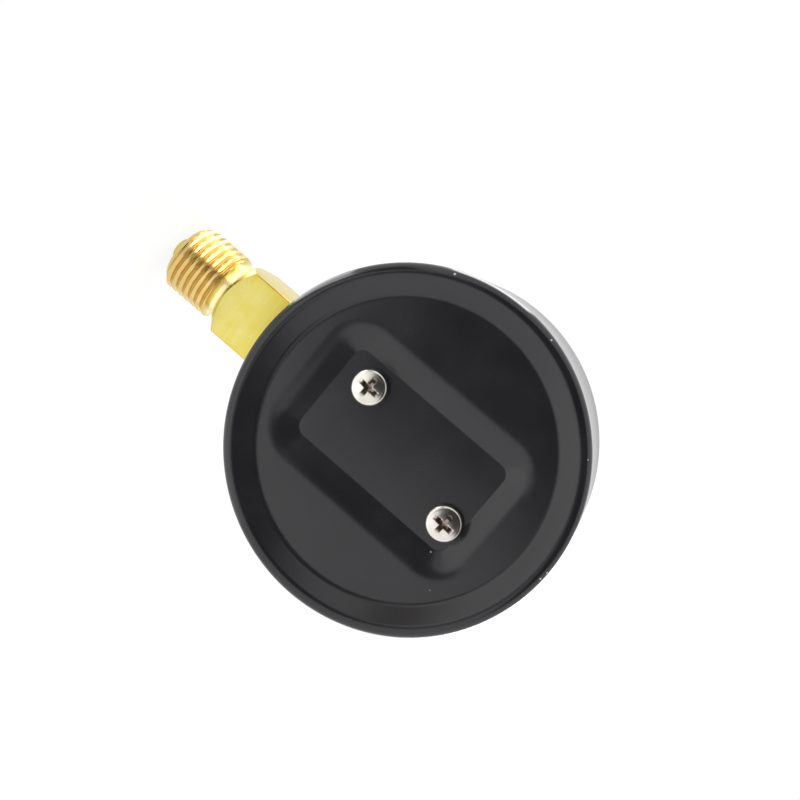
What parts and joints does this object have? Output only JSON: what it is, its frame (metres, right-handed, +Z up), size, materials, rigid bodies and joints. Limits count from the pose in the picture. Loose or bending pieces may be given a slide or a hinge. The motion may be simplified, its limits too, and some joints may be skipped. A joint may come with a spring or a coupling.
{
  "type": "capsule pressure gauge",
  "caption": "round capsule pressure gauge with a black steel case, sunken back with a pressed recess, clear front window, dial and pointer, and a threaded brass bottom connection",
  "frame": {"origin": "on the stem's axis at the top of the thread", "axes": "+Z up along the stem to the case, the dial faces -Y, the back +Y"},
  "size_m": [0.068, 0.0295, 0.0939],
  "materials": {
    "black_paint": "semi-gloss black enamel on drawn steel",
    "clear_plastic": "clear moulded plastic",
    "socket_brass": "turned and milled brass",
    "movement_brass": "stamped brass",
    "capsule_bronze": "rolled bronze foil and strip",
    "nickel": "bright nickel plating on steel",
    "arbor_steel": "ground steel",
    "white_dial": "matt white paint on aluminium sheet",
    "black_pointer": "matt black paint on aluminium"
  },
  "bodies": {
    "gauge": {"case": "black_paint", "window": "clear_plastic", "socket": "socket_brass", "socket_screws": "nickel", "dial": "white_dial", "front_plate": "movement_brass", "back_plate": "movement_brass", "capsule_nipple": "socket_brass", "capsule": "capsule_bronze", "hairspring": "capsule_bronze", "hairspring_stud": "movement_brass"},
    "pointer": {"pointer": "black_pointer", "pointer_bush": "black_pointer", "pinion_arbor": "arbor_steel"},
    "sector": {"sector_gear": "movement_brass", "sector_arbor": "arbor_steel"},
    "rocker": {"rocker_shaft": "arbor_steel", "rocker_arm": "movement_brass", "rocker_finger": "movement_brass"},
    "post": {"capsule_post": "movement_brass"}
  },
  "joints": [
    {"name": "pointer_turn", "type": "hinge", "parent": "gauge", "child": "pointer", "pos_m": [0, 0, 0.0473], "axis": [0, 1, 0], "range_deg": [0, 270]},
    {"name": "sector_swing", "type": "hinge", "parent": "gauge", "child": "sector", "pos_m": [-0.01593, 0, 0.0505], "axis": [0, 1, 0], "range_deg": [-22.5, 0]},
    {"name": "rocker_tilt", "type": "hinge", "parent": "gauge", "child": "rocker", "pos_m": [0, -0.0078, 0.0505], "axis": [1, 0, 0], "range_deg": [-24.9, 0]},
    {"name": "post_slide", "type": "slide", "parent": "gauge", "child": "post", "axis": [0, -1, 0], "range_m": [0, 0.00138], "deforming": ["capsule"]}
  ],
  "couplings": [
    {"joint": "sector_swing", "follows": "pointer_turn", "ratio": -0.083333},
    {"joint": "rocker_tilt", "follows": "pointer_turn", "ratio": -0.092222},
    {"joint": "post_slide", "follows": "pointer_turn", "m_per_rad": 0.00029285}
  ]
}
